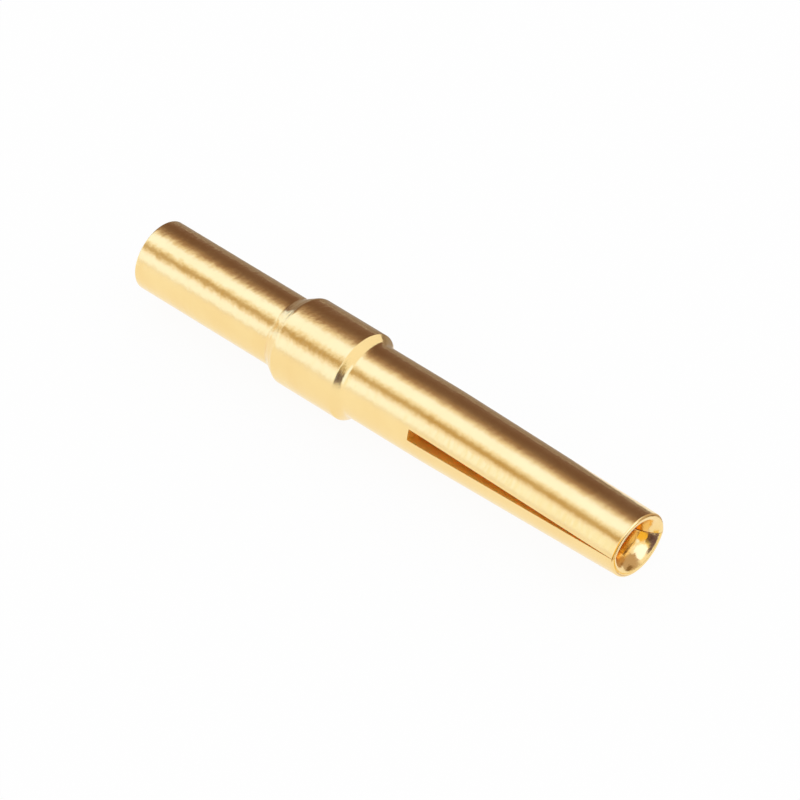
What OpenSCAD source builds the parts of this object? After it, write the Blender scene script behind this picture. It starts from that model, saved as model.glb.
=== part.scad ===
// Crimp socket contact: a turned, slit and gold-plated contact that takes a 1 mm pin at one end
// and a crimped stranded wire at the other. It lies along X, with the mating end towards +X and
// the origin on its axis at the middle of the retention collar. All sizes are in millimetres.

/* [Crimp barrel] */
// Outside diameter of the crimp barrel
barrel_d = 2.00; // [1.8:0.01:2.2]
// Length of the crimp barrel, from its open end to the foot of the rear chamfer
barrel_len = 4.64; // [3:0.01:8]
// Diameter of the wire well
well_d = 1.30; // [0.8:0.01:1.5]
// Wall left between the floor of the wire well and the foot of the rear chamfer
well_setback = 0.25; // [0:0.01:1]
// Width of the chamfer at the mouth of the wire well
well_chamfer = 0.12; // [0.02:0.01:0.2]
// Rounding of the outer edge at the open end
barrel_edge_r = 0.06; // [0.01:0.01:0.1]

/* [Inspection hole] */
// Diameter of the inspection hole
hole_d = 0.60; // [0.3:0.01:0.9]
// Distance from the axis of the hole to the floor of the wire well
hole_setback = 0.36; // [0.1:0.01:1]

/* [Retention collar] */
// Outside diameter of the collar
collar_d = 2.50; // [2.4:0.01:3]
// Length of the collar between the tops of its two chamfers
collar_len = 2.06; // [1:0.01:4]
// Angle of the rear chamfer from the axis
rear_chamfer_angle = 30; // [25:1:60]
// Angle of the front chamfer from the axis
front_chamfer_angle = 45; // [25:1:60]
// Rounding at the top of the rear chamfer
rear_edge_r = 0.20; // [0.01:0.01:0.3]
// Rounding at the top of the front chamfer
front_edge_r = 0.04; // [0.01:0.01:0.1]
// Fillet at the foot of the rear chamfer
rear_fillet_r = 0.13; // [0.01:0.01:0.15]
// Fillet at the foot of the front chamfer
front_fillet_r = 0.25; // [0.01:0.01:0.3]

/* [Socket] */
// Outside diameter of the socket
socket_d = 2.10; // [1.9:0.01:2.2]
// Length of the socket, from the top of the front chamfer to the mouth
socket_len = 9.30; // [8.8:0.01:14]
// Diameter of the bore that takes the pin
bore_d = 1.05; // [0.8:0.01:1.2]
// Depth of the bore past the root of the slot
bore_past_slot = 0.80; // [0.2:0.01:1.2]
// Diameter of the lead-in bell at the mouth
mouth_d = 1.82; // [1.5:0.01:1.9]
// Slope of the bell at the mouth, from the axis
mouth_angle = 57; // [40:1:85]
// Rounding of the outer edge of the mouth
rim_r = 0.06; // [0.01:0.01:0.07]

/* [Slot and tines] */
// Width of the slot as it was sawn
slot_w = 0.33; // [0.2:0.01:0.5]
// Length of the slot, from its square root to the mouth
slot_len = 6.82; // [5:0.01:7.2]
// Gap left between the squeezed tines at the mouth
tip_gap = 0.01; // [0.01:0.01:0.15]
// Length of the bend at the root of each tine
bend_len = 0.60; // [0.2:0.01:2]
// Step on each face of the wall where the tines begin
tine_relief = 0.006; // [0.005:0.001:0.02]
// Turn of the slot about the axis, up from the horizontal
slot_roll = 13; // [0:1:90]

/* [Hidden] */

gold = [0.93, 0.74, 0.36];
drill_point_angle = 118;
arc_steps = 6;
bell_steps = 10;
// How far a cutting shape runs past what it cuts
over = 1;
// How far the root of a tine runs into the wall that holds it
root_grip = 0.15;
$fn = 96;

barrel_r = barrel_d / 2;
well_r = well_d / 2;
collar_r = collar_d / 2;
socket_r = socket_d / 2;
bore_r = bore_d / 2;
mouth_r = mouth_d / 2;

// Stations along the axis, from the open end of the barrel to the mouth
collar_front = collar_len / 2;
collar_rear = -collar_front;
barrel_top = collar_rear - (collar_r - barrel_r) / tan(rear_chamfer_angle);
barrel_end = barrel_top - barrel_len;
socket_foot = collar_front + (collar_r - socket_r) / tan(front_chamfer_angle);
mouth_at = collar_front + socket_len;
slot_root = mouth_at - slot_len;
bore_floor = slot_root - bore_past_slot;
well_floor = barrel_top - well_setback;

// Depth of the cone that a drill of radius r leaves past its full diameter
function drill_cone(r) = r / tan(drill_point_angle / 2);

// Each tine turns inwards along the bend and then runs straight to the mouth
tine_in = (slot_w - tip_gap) / 2;
tine_angle = asin(tine_in / (slot_len - bend_len / 2));
bend_r = bend_len / (tine_angle * PI / 180);
bend_end = [-bend_r * (1 - cos(tine_angle)), 0, bend_r * sin(tine_angle)];
straight_len = slot_len - bend_len;

// The root of each tine is held in the wall of the socket, which is a hair thicker than the tine
grip_angle = tine_angle * root_grip / bend_len;
tine_out_r = socket_r - tine_relief;
tine_bore_r = bore_r + tine_relief;

// The bell is one arc, which leaves the bore without a corner
bell_r = (mouth_r - tine_bore_r) / (1 - cos(mouth_angle));
bell_foot = straight_len - bell_r * sin(mouth_angle);

function unit(v) = v / norm(v);

// Points of the arc of radius r that rounds the corner b between its neighbours a and c
function corner(a, b, c, r) =
    let (
        u = unit(a - b),
        v = unit(c - b),
        half = acos(u * v) / 2,
        centre = b + unit(u + v) * r / sin(half),
        first = b + u * r / tan(half) - centre,
        last = b + v * r / tan(half) - centre,
        from = atan2(first.y, first.x),
        sweep = (atan2(last.y, last.x) - from + 540) % 360 - 180
    )
    [for (i = [0 : arc_steps]) let (t = from + sweep * i / arc_steps) centre + r * [cos(t), sin(t)]];

// An outline whose points are [radius, station, rounding]
function rounded(path) = [
    for (i = [0 : len(path) - 1])
        let (
            n = len(path),
            point = function (k) [path[k % n][0], path[k % n][1]],
            r = path[i][2]
        )
        each r > 0 ? corner(point(i + n - 1), point(i), point(i + 1), r) : [point(i)]
];

// Half section of the body from the open end of the barrel to the root of the slot
body_outline = [
    [0, well_floor + drill_cone(well_r), 0],
    [well_r, well_floor, 0],
    [well_r, barrel_end + well_chamfer, 0],
    [well_r + well_chamfer, barrel_end, 0],
    [barrel_r, barrel_end, barrel_edge_r],
    [barrel_r, barrel_top, rear_fillet_r],
    [collar_r, collar_rear, rear_edge_r],
    [collar_r, collar_front, front_edge_r],
    [socket_r, socket_foot, front_fillet_r],
    [socket_r, slot_root, 0],
    [bore_r, slot_root, 0],
    [bore_r, bore_floor, 0],
    [0, bore_floor - drill_cone(bore_r), 0]
];

// Half section of the straight run of a tine, from the end of its bend to the mouth
tine_outline = [
    [tine_bore_r, 0, 0],
    [tine_out_r, 0, 0],
    [tine_out_r, straight_len, rim_r],
    for (i = [bell_steps : -1 : 0])
        let (t = mouth_angle * i / bell_steps)
        [tine_bore_r + bell_r * (1 - cos(t)), bell_foot + bell_r * sin(t), 0]
];

// The side of the slot that one tine keeps
module tine_side(size) {
    translate([slot_w / 2, -size])
        square(2 * size);
}

module tine_section() {
    intersection() {
        difference() {
            circle(tine_out_r);
            circle(tine_bore_r);
        }
        tine_side(socket_r + over);
    }
}

module tine_bend() {
    translate([-bend_r, 0, 0])
        rotate([90, 0, 0])
            rotate_extrude(angle = tine_angle + grip_angle)
                translate([bend_r, 0])
                    tine_section();
}

module tine_straight() {
    intersection() {
        rotate_extrude()
            polygon(rounded(tine_outline));
        translate([0, 0, -over])
            linear_extrude(straight_len + 2 * over)
                tine_side(socket_r + over);
    }
}

module tine() {
    translate(bend_end)
        rotate([0, -tine_angle, 0]) {
            tine_straight();
            mirror([0, 0, 1])
                tine_bend();
        }
}

module body() {
    rotate_extrude()
        polygon(rounded(body_outline));
}

module inspection_hole() {
    translate([0, 0, well_floor - hole_setback])
        rotate([-90, 0, 0])
            cylinder(d = hole_d, h = barrel_r + over);
}

module socket_contact() {
    color(gold)
        rotate([0, 90, 0])
            rotate([0, 0, -slot_roll])
                difference() {
                    union() {
                        body();
                        for (side = [0, 180])
                            rotate([0, 0, side])
                                translate([0, 0, slot_root])
                                    tine();
                    }
                    inspection_hole();
                }
}

socket_contact();
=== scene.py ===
"""Looks of a crimp socket contact: a fine mesh of the turned, slit and squeezed body, its gold plating,
and a small studio with a white table, an arch of soft bands, lights and cards. Lengths are in
millimetres until a mesh is made, and the axes are those of the CAD frame: +X along the contact
towards its mouth, +Z up."""

import math

import bmesh
import bpy
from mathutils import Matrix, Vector


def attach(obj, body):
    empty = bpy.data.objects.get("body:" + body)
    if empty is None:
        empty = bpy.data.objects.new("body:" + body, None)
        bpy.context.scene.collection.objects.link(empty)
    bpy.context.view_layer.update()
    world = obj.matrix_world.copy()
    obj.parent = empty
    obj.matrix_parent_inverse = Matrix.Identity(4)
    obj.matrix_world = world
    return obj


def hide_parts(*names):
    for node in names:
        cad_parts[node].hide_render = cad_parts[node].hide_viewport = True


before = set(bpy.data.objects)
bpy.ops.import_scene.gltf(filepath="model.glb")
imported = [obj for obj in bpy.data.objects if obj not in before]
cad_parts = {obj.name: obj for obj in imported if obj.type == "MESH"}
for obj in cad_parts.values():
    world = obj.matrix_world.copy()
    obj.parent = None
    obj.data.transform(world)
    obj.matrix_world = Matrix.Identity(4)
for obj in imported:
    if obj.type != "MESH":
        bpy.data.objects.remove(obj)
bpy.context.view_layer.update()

# Metres in a millimetre
MM = 0.001

# Crimp barrel, wire well and inspection hole
BARREL_R = 1.00
BARREL_LEN = 4.64
WELL_R = 0.65
WELL_SETBACK = 0.25
WELL_CHAMFER = 0.12
BARREL_EDGE_R = 0.06
HOLE_R = 0.30
HOLE_SETBACK = 0.36

# Retention collar
COLLAR_R = 1.25
COLLAR_LEN = 2.06
REAR_CHAMFER_ANGLE = math.radians(30)
FRONT_CHAMFER_ANGLE = math.radians(45)
REAR_EDGE_R = 0.20
FRONT_EDGE_R = 0.04
REAR_FILLET_R = 0.13
FRONT_FILLET_R = 0.25

# Socket, bore and bell
SOCKET_R = 1.05
SOCKET_LEN = 9.30
BORE_R = 0.525
BORE_PAST_SLOT = 0.80
MOUTH_R = 0.91
MOUTH_ANGLE = math.radians(57)
RIM_R = 0.06
DRILL_POINT_ANGLE = math.radians(118)

# Slot and squeezed tines
SLOT_W = 0.33
SLOT_LEN = 6.82
TIP_GAP = 0.01
BEND_LEN = 0.60
SLOT_ROLL = math.radians(13)

# Stations along the axis, from the open end of the barrel to the mouth
COLLAR_FRONT = COLLAR_LEN / 2
COLLAR_REAR = -COLLAR_FRONT
BARREL_TOP = COLLAR_REAR - (COLLAR_R - BARREL_R) / math.tan(REAR_CHAMFER_ANGLE)
BARREL_END = BARREL_TOP - BARREL_LEN
SOCKET_FOOT = COLLAR_FRONT + (COLLAR_R - SOCKET_R) / math.tan(FRONT_CHAMFER_ANGLE)
MOUTH = Vector((COLLAR_FRONT + SOCKET_LEN, 0, 0))
SLOT_ROOT = MOUTH.x - SLOT_LEN
BORE_FLOOR = SLOT_ROOT - BORE_PAST_SLOT
WELL_FLOOR = BARREL_TOP - WELL_SETBACK
HOLE_AT = WELL_FLOOR - HOLE_SETBACK

# The tines turn inwards along a bend and then run straight
TINE_ANGLE = math.asin((SLOT_W - TIP_GAP) / 2 / (SLOT_LEN - BEND_LEN / 2))
BEND_R = BEND_LEN / TINE_ANGLE

# The bell is one arc, which leaves the bore without a corner
BELL_R = (MOUTH_R - BORE_R) / (1 - math.cos(MOUTH_ANGLE))
BELL_FOOT = SLOT_LEN - BELL_R * math.sin(MOUTH_ANGLE)

# Fineness of the mesh
STEP = 0.14
ARC_STEPS = 10
BELL_STEPS = 16
TINE_COLUMNS = 72
SLOT_COLUMNS = 8
ROOT_ROWS = 6
HOLE_ROWS = 3
MERGE = 0.0005
TINY = 1e-6

# Break of the sharp edges
EDGE_BREAK = 0.014
EDGE_ANGLE = math.radians(35)
EDGE_STEPS = 2

# Window left in both walls of the barrel round the inspection hole, and the rings of points that fill
# it, as shares of the way from its edge to the hole's
HOLE_SIDE = math.pi / 2
WINDOW_LEN = 0.33
WINDOW_ANGLE = math.radians(46)
WINDOW_RINGS = (0, 0.35, 0.62, 0.82, 0.94, 1)

# Turned gold: lumps of its slow drift to a millimetre, the range of the drift that shows, and the
# tones and roughnesses at the two ends of that range
DRIFT_SCALE = 0.9
DRIFT_DETAIL = 3.0
DRIFT_RANGE = (0.3, 0.7)
GOLD_TONES = ((0.96, 0.70, 0.31), (0.99, 0.75, 0.35))
GOLD_ROUGHNESS = (0.15, 0.22)

# Sawn and drilled gold: its deeper tone, and how much rougher it is than the turned gold
DULL_GOLD = (0.97, 0.71, 0.17)
DULL_ROUGHNESS = 0.45

# Turning marks: rings round the axis
TURNING_SCALE = 9.0
TURNING_DETAIL = 4.0
TURNING_DEPTH = 0.0016

# Chatter: lumps that are shorter along the axis than round it, and the share of their depth on the tines
CHATTER_SCALE = 6.0
CHATTER_DETAIL = 3.0
CHATTER_STRETCH = 0.4
CHATTER_DEPTH = 0.019
TINE_CHATTER = 0.5


def drill_cone(r):
    """Depth of the cone that a drill of radius r leaves past its full diameter."""
    return r / math.tan(DRILL_POINT_ANGLE / 2)


def rounded(path):
    """Outline of (radius, station) points from a path of (radius, station, rounding)."""
    out = []
    for i, (r, s, rounding) in enumerate(path):
        if not rounding:
            out.append((r, s))
            continue
        here = Vector((r, s))
        back = (Vector(path[i - 1][:2]) - here).normalized()
        ahead = (Vector(path[i + 1][:2]) - here).normalized()
        half = back.angle(ahead) / 2
        centre = here + (back + ahead).normalized() * rounding / math.sin(half)
        first = here + back * rounding / math.tan(half) - centre
        last = here + ahead * rounding / math.tan(half) - centre
        start = math.atan2(first.y, first.x)
        sweep = (math.atan2(last.y, last.x) - start + math.pi) % math.tau - math.pi
        for k in range(ARC_STEPS + 1):
            angle = start + sweep * k / ARC_STEPS
            out.append((centre.x + rounding * math.cos(angle), centre.y + rounding * math.sin(angle)))
    return out


def spaced(points):
    """The same outline with extra points, at most one step apart."""
    out = [points[0]]
    for (r0, s0), (r1, s1) in zip(points, points[1:]):
        count = max(1, math.ceil(math.hypot(r1 - r0, s1 - s0) / STEP - TINY))
        out += [(r0 + (r1 - r0) * k / count, s0 + (s1 - s0) * k / count) for k in range(1, count + 1)]
    return out


def spread(first, last, count):
    """Evenly spread numbers, both ends included."""
    return [first + (last - first) * k / count for k in range(count + 1)]


def tine_angles(r):
    """Angles across one tine at radius r, from one wall of the slot to the other."""
    half = math.acos(SLOT_W / 2 / r)
    return spread(-half, half, TINE_COLUMNS)


def slot_angles(r):
    """Angles across the slot at radius r."""
    half = math.acos(SLOT_W / 2 / r)
    return spread(half, math.pi - half, SLOT_COLUMNS)


def full_turn(r):
    """Angles round the axis, in line with the tines and the slot at radius r."""
    half = tine_angles(r)[:-1] + slot_angles(r)[:-1]
    return half + [a + math.pi for a in half]


def framed(n, t, s):
    """Point at n towards a tine, t towards the slot and station s, in the CAD frame."""
    y = t * math.cos(SLOT_ROLL) - n * math.sin(SLOT_ROLL)
    z = -n * math.cos(SLOT_ROLL) - t * math.sin(SLOT_ROLL)
    return Vector((s, y, z))


def turned(r, angle, s):
    """Point of a body of revolution."""
    return framed(r * math.cos(angle), r * math.sin(angle), s)


def tine_point(r, angle, s, side):
    """Point of a tine at the length s from the slot's root, moved with its bend. side is 1 or -1."""
    n, t = r * math.cos(angle), r * math.sin(angle)
    bend = min(s, BEND_LEN) / BEND_R
    run = max(s - BEND_LEN, 0)
    across = (BEND_R + n) * math.cos(bend) - run * math.sin(bend) - BEND_R
    along = (BEND_R + n) * math.sin(bend) + run * math.cos(bend)
    return framed(side * across, side * t, SLOT_ROOT + along)


def add_grid(skin, rows, closed=False):
    """Quads between neighbouring rows of points, joined round the end if closed."""
    rows = [[skin.verts.new(p) for p in row] for row in rows]
    faces = []
    for low, high in zip(rows, rows[1:]):
        for j in range(len(low) if closed else len(low) - 1):
            k = (j + 1) % len(low)
            faces.append(skin.faces.new((low[j], low[k], high[k], high[j])))
    return faces


def mark_dull(skin, faces):
    """Notes that these faces were sawn or drilled, which leaves them duller than the turned ones."""
    dull = skin.faces.layers.float["dull"]
    for face in faces:
        face[dull] = 1


def in_window(r, s, angle):
    """True for a point on a wall of the barrel that lies in the window round the inspection hole."""
    on_wall = r in (BARREL_R, WELL_R) and abs(s - HOLE_AT) <= WINDOW_LEN + TINY
    return on_wall and abs(angle - HOLE_SIDE) <= WINDOW_ANGLE


def add_turned(skin, outline, angles):
    """Full turn of an outline, left open at the inspection hole's window."""
    rings = [[skin.verts.new(turned(r, a, s)) for a in angles] for r, s in outline]
    faces = []
    for i, (low, high) in enumerate(zip(rings, rings[1:])):
        for j in range(len(angles)):
            k = (j + 1) % len(angles)
            corners = [(*outline[m], angles[c]) for m in (i, i + 1) for c in (j, k)]
            if not all(in_window(*corner) for corner in corners):
                faces.append(skin.faces.new((low[j], low[k], high[k], high[j])))
    return faces


def window_loop(outline, angles, wall_r):
    """(angle, station) pairs in order round the window in the wall of that radius."""
    stations = sorted(s for r, s in outline if r == wall_r and abs(s - HOLE_AT) <= WINDOW_LEN + TINY)
    turns = [a for a in angles if abs(a - HOLE_SIDE) <= WINDOW_ANGLE]
    low = [(a, stations[0]) for a in turns[:-1]]
    right = [(turns[-1], s) for s in stations[:-1]]
    high = [(a, stations[-1]) for a in turns[:0:-1]]
    left = [(turns[0], s) for s in stations[:0:-1]]
    return low + right + high + left


def hole_rim(loop, wall_r):
    """(angle, station) pairs on the edge of the inspection hole, one for each pair of the loop."""
    rim = []
    for angle, s in loop:
        bearing = math.atan2(BARREL_R * (angle - HOLE_SIDE), s - HOLE_AT)
        turn = math.asin(HOLE_R * math.sin(bearing) / wall_r)
        rim.append((HOLE_SIDE + turn, HOLE_AT + HOLE_R * math.cos(bearing)))
    return rim


def add_inspection_hole(skin, outline, angles):
    """Fills both windows up to the edges of the hole, and joins the edges with the hole's own wall."""
    edges = []
    for wall_r in (BARREL_R, WELL_R):
        loop = window_loop(outline, angles, wall_r)
        rim = hole_rim(loop, wall_r)
        rings = []
        for share in WINDOW_RINGS:
            pairs = [(a + (b - a) * share, s + (q - s) * share) for (a, s), (b, q) in zip(loop, rim)]
            rings.append([turned(wall_r, a, s) for a, s in pairs])
        add_grid(skin, rings, closed=True)
        edges.append(rings[-1])
    outer, inner = edges
    wall = [[p.lerp(q, share) for p, q in zip(outer, inner)] for share in spread(0, 1, HOLE_ROWS)]
    add_grid(skin, wall, closed=True)


def add_body(skin):
    """The barrel with its well and hole, the collar, and the socket up to the root of the slot."""
    window = (HOLE_AT - WINDOW_LEN, HOLE_AT + WINDOW_LEN)
    shell = spaced(rounded([
        (0, WELL_FLOOR + drill_cone(WELL_R), 0),
        (WELL_R, WELL_FLOOR, 0),
        (WELL_R, window[1], 0),
        (WELL_R, window[0], 0),
        (WELL_R, BARREL_END + WELL_CHAMFER, 0),
        (WELL_R + WELL_CHAMFER, BARREL_END, 0),
        (BARREL_R, BARREL_END, BARREL_EDGE_R),
        (BARREL_R, window[0], 0),
        (BARREL_R, window[1], 0),
        (BARREL_R, BARREL_TOP, REAR_FILLET_R),
        (COLLAR_R, COLLAR_REAR, REAR_EDGE_R),
        (COLLAR_R, COLLAR_FRONT, FRONT_EDGE_R),
        (SOCKET_R, SOCKET_FOOT, FRONT_FILLET_R),
        (SOCKET_R, SLOT_ROOT, 0),
    ]))
    bore = spaced([(BORE_R, SLOT_ROOT), (BORE_R, BORE_FLOOR), (0, BORE_FLOOR - drill_cone(BORE_R))])
    add_turned(skin, shell, full_turn(SOCKET_R))
    add_inspection_hole(skin, shell, full_turn(SOCKET_R))
    mark_dull(skin, add_turned(skin, bore, full_turn(BORE_R)))


def add_slot_root(skin, half):
    """The square end of the slot, on one side of the axis."""
    inner = [turned(BORE_R, a + half, SLOT_ROOT) for a in slot_angles(BORE_R)]
    outer = [turned(SOCKET_R, a + half, SLOT_ROOT) for a in slot_angles(SOCKET_R)]
    rows = [[p.lerp(q, share) for p, q in zip(inner, outer)] for share in spread(0, 1, ROOT_ROWS)]
    mark_dull(skin, add_grid(skin, rows))


def add_tine(skin, side):
    """One tine: its outside, rim, bell and bore in one sheet, and its two walls in the slot."""
    run = [s for _, s in spaced([(0, 0), (0, BEND_LEN), (0, BELL_FOOT)])]
    rim = rounded([(SOCKET_R, BELL_FOOT, 0), (SOCKET_R, SLOT_LEN, RIM_R), (MOUTH_R, SLOT_LEN, 0)])
    bell = []
    for t in spread(MOUTH_ANGLE, 0, BELL_STEPS):
        bell.append((BORE_R + BELL_R * (1 - math.cos(t)), BELL_FOOT + BELL_R * math.sin(t)))
    tip = spaced(rim + bell[1:])
    outline = [(SOCKET_R, s) for s in run[:-1]] + tip + [(BORE_R, s) for s in run[-2::-1]]
    sheet = add_grid(skin, [[tine_point(r, a, s, side) for a in tine_angles(r)] for r, s in outline])
    # The faces of the bore are the last ones of the sheet
    mark_dull(skin, sheet[-TINE_COLUMNS * (len(run) - 1):])
    for edge in (0, -1):
        walls = [[tine_point(r, tine_angles(r)[edge], s, side) for r in (SOCKET_R, BORE_R)] for s in run]
        mark_dull(skin, add_grid(skin, walls))
        end = [skin.verts.new(tine_point(r, tine_angles(r)[edge], s, side)) for r, s in tip]
        mark_dull(skin, [skin.faces.new(end)])


def make_piece(name, skin):
    """Object in metres from a skin in millimetres."""
    bmesh.ops.scale(skin, vec=(MM, MM, MM), verts=skin.verts)
    mesh = bpy.data.meshes.new(name)
    skin.to_mesh(mesh)
    skin.free()
    piece = bpy.data.objects.new(name, mesh)
    bpy.context.scene.collection.objects.link(piece)
    return piece


def break_edges(piece):
    """Takes the sharpness off the edges of a piece."""
    bevel = piece.modifiers.new("edge_break", "BEVEL")
    bevel.width = EDGE_BREAK * MM
    bevel.segments = EDGE_STEPS
    bevel.limit_method = "ANGLE"
    bevel.angle_limit = EDGE_ANGLE
    bevel.harden_normals = True
    bpy.context.view_layer.objects.active = piece
    bpy.ops.object.modifier_apply(modifier=bevel.name)


def make_contact():
    """The whole contact as one closed skin with its edges lightly broken."""
    skin = bmesh.new()
    skin.faces.layers.float.new("dull")
    add_body(skin)
    for side, half in ((1, 0), (-1, math.pi)):
        add_slot_root(skin, half)
        add_tine(skin, side)
    bmesh.ops.remove_doubles(skin, verts=skin.verts, dist=MERGE)
    bmesh.ops.recalc_face_normals(skin, faces=skin.faces)
    piece = make_piece("contact_skin", skin)
    piece.data.shade_smooth()
    piece.data.set_sharp_from_angle(angle=EDGE_ANGLE)
    break_edges(piece)
    return piece


def noise(nodes, scale, detail, dimensions="3D"):
    """Noise texture with so many lumps to a millimetre."""
    texture = nodes.new("ShaderNodeTexNoise")
    texture.noise_dimensions = dimensions
    texture.inputs["Scale"].default_value = scale
    texture.inputs["Detail"].default_value = detail
    return texture


def bump(nodes, depth):
    """Bump of the given depth in millimetres."""
    relief = nodes.new("ShaderNodeBump")
    relief.inputs["Strength"].default_value = 1.0
    relief.inputs["Distance"].default_value = depth * MM
    return relief


def maths(nodes, operation, second=None):
    """Math node, with its second value where that is fixed."""
    node = nodes.new("ShaderNodeMath")
    node.operation = operation
    if second is not None:
        node.inputs[1].default_value = second
    return node


def map_range(nodes, source, target):
    """Node that maps one range of values onto another."""
    node = nodes.new("ShaderNodeMapRange")
    for socket, value in zip(("From Min", "From Max", "To Min", "To Max"), (*source, *target)):
        node.inputs[socket].default_value = value
    return node


def add_gold_tone(nodes, links, place, shader):
    """Colour and roughness of the plating, which drift slowly and change on the dull faces."""
    drift = noise(nodes, DRIFT_SCALE, DRIFT_DETAIL)
    links.new(place, drift.inputs["Vector"])
    dull = nodes.new("ShaderNodeAttribute")
    dull.attribute_name = "dull"

    tone = nodes.new("ShaderNodeValToRGB")
    for stop, position, colour in zip(tone.color_ramp.elements, DRIFT_RANGE, GOLD_TONES):
        stop.position = position
        stop.color = (*colour, 1)
    links.new(drift.outputs["Fac"], tone.inputs["Fac"])
    blend = nodes.new("ShaderNodeMixRGB")
    blend.inputs["Color2"].default_value = (*DULL_GOLD, 1)
    links.new(dull.outputs["Fac"], blend.inputs["Fac"])
    links.new(tone.outputs["Color"], blend.inputs["Color1"])
    links.new(blend.outputs["Color"], shader.inputs["Base Color"])

    gloss = map_range(nodes, DRIFT_RANGE, GOLD_ROUGHNESS)
    links.new(drift.outputs["Fac"], gloss.inputs["Value"])
    rough = maths(nodes, "MULTIPLY_ADD", DULL_ROUGHNESS)
    links.new(dull.outputs["Fac"], rough.inputs[0])
    links.new(gloss.outputs["Result"], rough.inputs[2])
    links.new(rough.outputs["Value"], shader.inputs["Roughness"])


def add_gold_relief(nodes, links, place, shader):
    """Turning marks round the axis, and chatter that fades towards the tines."""
    axes = nodes.new("ShaderNodeSeparateXYZ")
    links.new(place, axes.inputs["Vector"])
    turning = noise(nodes, TURNING_SCALE, TURNING_DETAIL, "1D")
    links.new(axes.outputs["X"], turning.inputs["W"])
    marks = bump(nodes, TURNING_DEPTH)
    links.new(turning.outputs["Fac"], marks.inputs["Height"])

    stretch = nodes.new("ShaderNodeMapping")
    stretch.inputs["Scale"].default_value = (1, CHATTER_STRETCH, CHATTER_STRETCH)
    links.new(place, stretch.inputs["Vector"])
    ripple = noise(nodes, CHATTER_SCALE, CHATTER_DETAIL)
    links.new(stretch.outputs["Vector"], ripple.inputs["Vector"])
    fade = map_range(nodes, (COLLAR_REAR, SLOT_ROOT), (1, TINE_CHATTER))
    links.new(axes.outputs["X"], fade.inputs["Value"])
    height = maths(nodes, "MULTIPLY")
    links.new(ripple.outputs["Fac"], height.inputs[0])
    links.new(fade.outputs["Result"], height.inputs[1])
    chatter = bump(nodes, CHATTER_DEPTH)
    links.new(height.outputs["Value"], chatter.inputs["Height"])
    links.new(marks.outputs["Normal"], chatter.inputs["Normal"])
    links.new(chatter.outputs["Normal"], shader.inputs["Normal"])


def gold_plating():
    """Bright gold over fine turning marks, with faint chatter and a slight drift in tone and gloss."""
    material = bpy.data.materials.new("gold_plating")
    material.use_nodes = True
    nodes, links = material.node_tree.nodes, material.node_tree.links
    shader = nodes["Principled BSDF"]
    shader.inputs["Metallic"].default_value = 1.0
    coordinates = nodes.new("ShaderNodeTexCoord")
    millimetres = nodes.new("ShaderNodeMapping")
    millimetres.inputs["Scale"].default_value = (1 / MM, 1 / MM, 1 / MM)
    links.new(coordinates.outputs["Object"], millimetres.inputs["Vector"])
    add_gold_tone(nodes, links, millimetres.outputs["Vector"], shader)
    add_gold_relief(nodes, links, millimetres.outputs["Vector"], shader)
    return material


# White table, and the height at which mats lie on it
TABLE_Z = -COLLAR_R
TABLE_HALF = 3000.0
TABLE_PAINT = (0.92, 0.92, 0.92)
TABLE_GLOW = 0.93
MAT_LIFT = 0.01
ON_TABLE = Vector((0, 0, TABLE_Z + MAT_LIFT))

# Bounces that light needs to leave the bore
BOUNCES = 32

# Colours that the studio has in several places
BRIGHT = (1.06, 1.28, 1.75)
OLIVE = (0.55, 0.43, 0.28)

# Arch along the contact's axis, whose front runs farther to the left than its rear
ARCH_R = 60.0
ARCH_TOP = math.radians(182)
ARCH_ROWS = 91
FRONT_TOP = math.radians(102)
FRONT_LEFT = -300.0
REAR_LEFT = -150.0
ARCH_RIGHT = 8.0

# Each band of the arch, from the front horizon over the top to the rear: height in degrees, colour
ARCH_BANDS = (
    (0, (0.86, 0.86, 0.92)),
    (5, (0.95, 0.96, 1.06)),
    (12, (1.06, 1.24, 1.68)),
    (31, (1.06, 1.27, 1.74)),
    (39, (0.98, 0.92, 0.92)),
    (47, OLIVE),
    (55, OLIVE),
    (64, (0.98, 0.95, 0.92)),
    (74, BRIGHT),
    (96, BRIGHT),
    (104, (0.92, 0.85, 0.82)),
    (118, (0.38, 0.26, 0.20)),
    (134, (0.20, 0.125, 0.10)),
    (150, (0.17, 0.098, 0.075)),
    (182, (0.23, 0.15, 0.14)),
)

# Each panel inside the arch, which the socket mirrors: left end, range of heights in degrees, colour
PANEL_R = 59.0
PANEL_ROWS = 14
PANELS = {
    "warm_panel": (-23, (8, 36), (1.02, 1.10, 1.16)),
    "olive_panel": (-35, (46, 56), (0.55, 0.40, 0.19)),
}

# Each round light: azimuth, elevation and distance as the mouth sees it, radius, colour
LIGHT_STEPS = 48
LIGHT_EYE = 0.02
LIGHTS = {
    "key_light": ((-9, 42, 6), 2.9, (1.35, 1.50, 2.20)),
    "warm_light": ((-4, 39, 6.6), 3.1, (1.00, 0.80, 0.14)),
}

# Each card round the mouth: azimuths, elevations and distance as the mouth sees it, colour
NEAR = 2.6
CARD_COLUMNS = 12
CARD_ROWS = 8
CARDS = {
    "dark_card": ((26, 52), (-2, 19), ARCH_R, (0.08, 0.04, 0.06)),
    "olive_card": ((5, 46), (19, 27), ARCH_R, (0.38, 0.27, 0.07)),
    "white_card": ((46, 85), (8, 60), ARCH_R, BRIGHT),
    "purple_card": ((-10, 20), (-16, 14), 4, (0.14, 0.09, 0.14)),
    "orange_card": ((34, 80), (5, 50), NEAR, (0.95, 0.60, 0.06)),
    "brown_card": ((42, 80), (-28, 5), NEAR, (0.48, 0.29, 0.06)),
    "tan_card": ((-95, -34), (-25, 48), NEAR, (0.55, 0.42, 0.33)),
    "umber_card": ((-64, -50), (-26, 0), 2.5, (0.22, 0.13, 0.05)),
}

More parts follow.
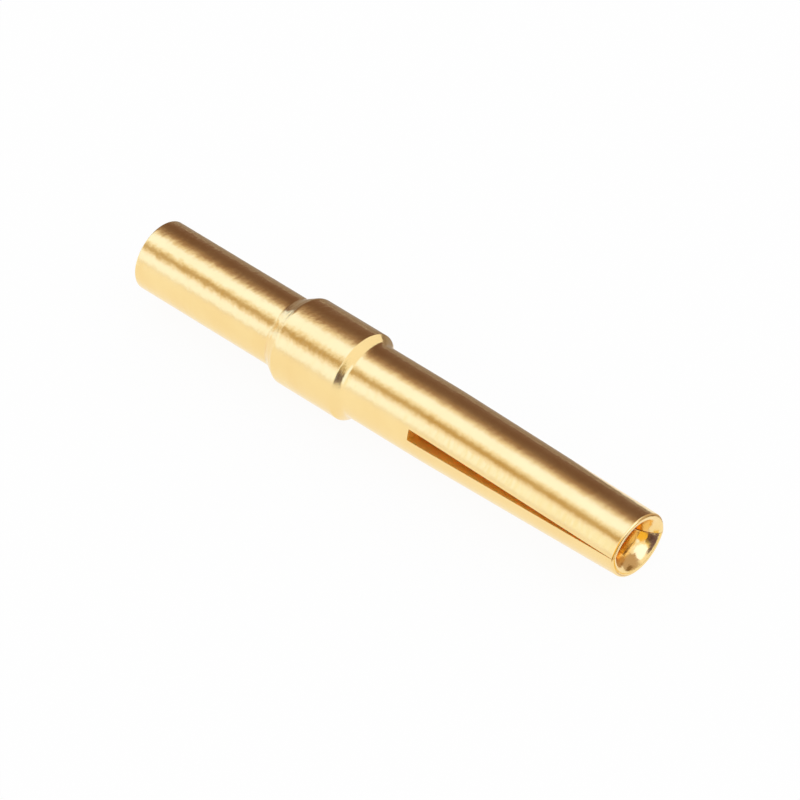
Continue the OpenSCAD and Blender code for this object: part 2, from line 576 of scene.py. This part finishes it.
# Each mat on the table round the mouth: azimuths, distances, colour. Some are painted light and painted
# shadow that the contact casts on the table, which show in its reflections
MATS = {
    "dark_mat": ((15, 75), (8, ARCH_R), (0.14, 0.09, 0.14)),
    "purple_mat": ((-20, 25), (2.8, 4.2), (0.20, 0.13, 0.20)),
    # Painted caustic: gold light that the contact throws onto the table near its mouth, painted as a
    # glowing patch
    "painted_caustic_mat": ((-30, 8), (0.65, 1.5), (0.90, 0.66, 0.20)),
    # Painted caustic: a brighter yellow pool of the contact's own gold light on the table, painted as a
    # glowing patch
    "painted_yellow_caustic_mat": ((-50, -33), (1.9, 2.4), (1.05, 0.90, 0.30)),
    # Painted shadow: the contact's own shadow on the table just under its mouth, painted as a dim patch
    "painted_shadow_mat": ((8, 34), (0.25, 0.75), (0.66, 0.56, 0.66)),
    "violet_mat": ((-45, -30), (1.6, 1.88), (0.12, 0.08, 0.20)),
}

# Each card at the far left end of the arch: range across, range up, colour
END_CARDS = {
    "olive_end": ((-25, 20), (-1, 16), OLIVE),
    "bright_end": ((20, 130), (-1, 60), BRIGHT),
}

# Each mat on the table beyond the barrel and behind it: range along, range across, colour
FAR_MATS = {
    "olive_mat": ((-120, -32), (-12, 3), OLIVE),
    "bright_mat": ((-32, -10), (-7, 0), BRIGHT),
    "rear_mat": ((-150, 6), (3, 8), (0.35, 0.30, 0.28)),
    "far_rear_mat": ((-150, 6), (8, ARCH_R), (0.28, 0.22, 0.19)),
}


def emissive(name):
    """Material that only shines, with its emission node."""
    material = bpy.data.materials.new(name)
    material.use_nodes = True
    nodes = material.node_tree.nodes
    nodes.clear()
    emission = nodes.new("ShaderNodeEmission")
    output = nodes.new("ShaderNodeOutputMaterial")
    material.node_tree.links.new(emission.outputs["Emission"], output.inputs["Surface"])
    return material, emission


def glow(name, colour):
    """Material that shines evenly with one colour."""
    material, emission = emissive(name)
    emission.inputs["Color"].default_value = (*colour, 1)
    return material


def banded_glow(name, bands):
    """Material that shines in soft bands, one for each height round the X axis."""
    material, emission = emissive(name)
    nodes, links = material.node_tree.nodes, material.node_tree.links
    place = nodes.new("ShaderNodeTexCoord")
    axes = nodes.new("ShaderNodeSeparateXYZ")
    links.new(place.outputs["Object"], axes.inputs["Vector"])
    ahead = maths(nodes, "MULTIPLY", -1)
    links.new(axes.outputs["Y"], ahead.inputs[0])
    height = maths(nodes, "ARCTAN2")
    links.new(axes.outputs["Z"], height.inputs[0])
    links.new(ahead.outputs["Value"], height.inputs[1])
    share = maths(nodes, "DIVIDE", ARCH_TOP)
    links.new(height.outputs["Value"], share.inputs[0])
    ramp = nodes.new("ShaderNodeValToRGB")
    links.new(share.outputs["Value"], ramp.inputs["Fac"])
    links.new(ramp.outputs["Color"], emission.inputs["Color"])
    stops = ramp.color_ramp.elements
    for angle, colour in bands[1:-1]:
        stops.new(math.radians(angle) / ARCH_TOP).color = (*colour, 1)
    stops[0].color = (*bands[0][1], 1)
    stops[-1].color = (*bands[-1][1], 1)
    return material


def table_white():
    """Paint that takes a soft shadow, and shines nearly white to the eye and in reflections."""
    material = bpy.data.materials.new("white_table")
    material.use_nodes = True
    nodes, links = material.node_tree.nodes, material.node_tree.links
    nodes.clear()
    paint = nodes.new("ShaderNodeBsdfDiffuse")
    paint.inputs["Color"].default_value = (*TABLE_PAINT, 1)
    light = nodes.new("ShaderNodeEmission")
    path = nodes.new("ShaderNodeLightPath")
    seen = maths(nodes, "MAXIMUM")
    links.new(path.outputs["Is Camera Ray"], seen.inputs[0])
    links.new(path.outputs["Is Glossy Ray"], seen.inputs[1])
    through = maths(nodes, "MAXIMUM")
    links.new(seen.outputs["Value"], through.inputs[0])
    links.new(path.outputs["Is Transmission Ray"], through.inputs[1])
    share = maths(nodes, "MULTIPLY", TABLE_GLOW)
    links.new(through.outputs["Value"], share.inputs[0])
    blend = nodes.new("ShaderNodeMixShader")
    links.new(share.outputs["Value"], blend.inputs["Fac"])
    links.new(paint.outputs["BSDF"], blend.inputs[1])
    links.new(light.outputs["Emission"], blend.inputs[2])
    output = nodes.new("ShaderNodeOutputMaterial")
    links.new(blend.outputs["Shader"], output.inputs["Surface"])
    return material


def stage_sheet(name, rows, material):
    """Sheet of the studio from rows of points, which shows in reflections alone."""
    sheet = bmesh.new()
    add_grid(sheet, rows)
    piece = make_piece(name, sheet)
    piece.data.materials.append(material)
    piece.visible_camera = False
    piece.visible_diffuse = False
    piece.visible_shadow = False
    return piece


def card(name, rows, colour):
    """Sheet of one colour."""
    stage_sheet(name, rows, glow(name, colour))


def aimed(azimuth, elevation, distance):
    """Point at a distance from the mouth. The azimuth turns from +X towards the front."""
    a, e = math.radians(azimuth), math.radians(elevation)
    level = distance * math.cos(e)
    return MOUTH + Vector((level * math.cos(a), -level * math.sin(a), distance * math.sin(e)))


def arch_row(radius, angle, left):
    """Two ends of a line along the arch, at an angle up from the front horizon."""
    y, z = -radius * math.cos(angle), radius * math.sin(angle)
    return [Vector((x, y, z)) for x in (left, ARCH_RIGHT)]


def make_arch():
    """Arch of soft bands along the contact."""
    rows = []
    for angle in spread(0, ARCH_TOP, ARCH_ROWS):
        left = FRONT_LEFT if angle < FRONT_TOP else REAR_LEFT
        rows.append(arch_row(ARCH_R, angle, left))
    stage_sheet("arch", rows, banded_glow("arch", ARCH_BANDS))


def make_panel(name, left, heights, colour):
    """Panel that follows the arch from its right end."""
    rows = [arch_row(PANEL_R, math.radians(height), left) for height in spread(*heights, PANEL_ROWS)]
    card(name, rows, colour)


def make_light(name, place, radius, colour):
    """Round light that faces the mouth, made of one ring of faces round a tiny eye."""
    middle = aimed(*place)
    ahead = (MOUTH - middle).normalized()
    aside = ahead.cross(Vector((0, 0, 1))).normalized()
    up = aside.cross(ahead)
    rows = []
    for share in (LIGHT_EYE, 1):
        angles = spread(0, math.tau, LIGHT_STEPS)
        rows.append([middle + (aside * math.cos(a) + up * math.sin(a)) * radius * share for a in angles])
    card(name, rows, colour)


def make_room():
    """White surroundings, and the way their light is counted and shown."""
    scene = bpy.context.scene
    scene.view_settings.view_transform = "Standard"
    scene.cycles.max_bounces = BOUNCES
    scene.cycles.glossy_bounces = BOUNCES
    world = bpy.data.worlds.new("white_room")
    world.use_nodes = True
    world.node_tree.nodes["Background"].inputs["Color"].default_value = (1, 1, 1, 1)
    scene.world = world


def make_table():
    """White table that the contact lies on."""
    corners = spread(-TABLE_HALF, TABLE_HALF, 1)
    rows = [[Vector((x, y, TABLE_Z)) for x in corners] for y in corners]
    table = stage_sheet("white_table", rows, table_white())
    table.visible_camera = True
    table.visible_diffuse = True
    table.visible_shadow = True


def light_studio():
    """The room and its table, the arch, and the lights, cards and mats that the contact mirrors."""
    make_room()
    make_table()
    make_arch()
    for name, (left, heights, colour) in PANELS.items():
        make_panel(name, left, heights, colour)
    for name, (place, radius, colour) in LIGHTS.items():
        make_light(name, place, radius, colour)
    for name, (along, across, colour) in FAR_MATS.items():
        card(name, [[Vector((x, y, 0)) + ON_TABLE for x in along] for y in across], colour)
    for name, (across, heights, colour) in END_CARDS.items():
        card(name, [[Vector((FRONT_LEFT, y, z)) for y in across] for z in heights], colour)
    for name, (azimuths, elevations, distance, colour) in CARDS.items():
        columns = spread(*azimuths, CARD_COLUMNS)
        levels = spread(*elevations, CARD_ROWS)
        card(name, [[aimed(a, e, distance) for a in columns] for e in levels], colour)
    for name, (azimuths, distances, colour) in MATS.items():
        columns = spread(*azimuths, CARD_COLUMNS)
        card(name, [[aimed(a, 0, d) + ON_TABLE for a in columns] for d in distances], colour)


# Camera, as the photograph's outline gives it
VIEW_AZIMUTH = math.radians(41.764)
VIEW_ELEVATION = math.radians(42.961)
VIEW_DISTANCE = 161.50
VIEW_WIDTH = 20.646
VIEW_ASIDE = 1.748
VIEW_ABOVE = -1.052
VIEW_CLIP = 10.0


def make_camera():
    """Camera that looks at the middle of the picture, with the photograph's own field of view."""
    level = math.cos(VIEW_ELEVATION)
    back = Vector((
        math.sin(VIEW_AZIMUTH) * level,
        -math.cos(VIEW_AZIMUTH) * level,
        math.sin(VIEW_ELEVATION),
    ))
    right = Vector((math.cos(VIEW_AZIMUTH), math.sin(VIEW_AZIMUTH), 0))
    target = right * VIEW_ASIDE + back.cross(right) * VIEW_ABOVE
    data = bpy.data.cameras.new("camera")
    data.lens = data.sensor_width * VIEW_DISTANCE / VIEW_WIDTH
    data.clip_start = VIEW_CLIP * MM
    camera = bpy.data.objects.new("camera", data)
    camera.location = (target + back * VIEW_DISTANCE) * MM
    camera.rotation_euler = (-back).to_track_quat("-Z", "Y").to_euler()
    bpy.context.scene.collection.objects.link(camera)
    bpy.context.scene.camera = camera


make_camera()
light_studio()

contact = make_contact()
contact.data.materials.append(gold_plating())
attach(contact, "root")
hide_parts("socket_contact")
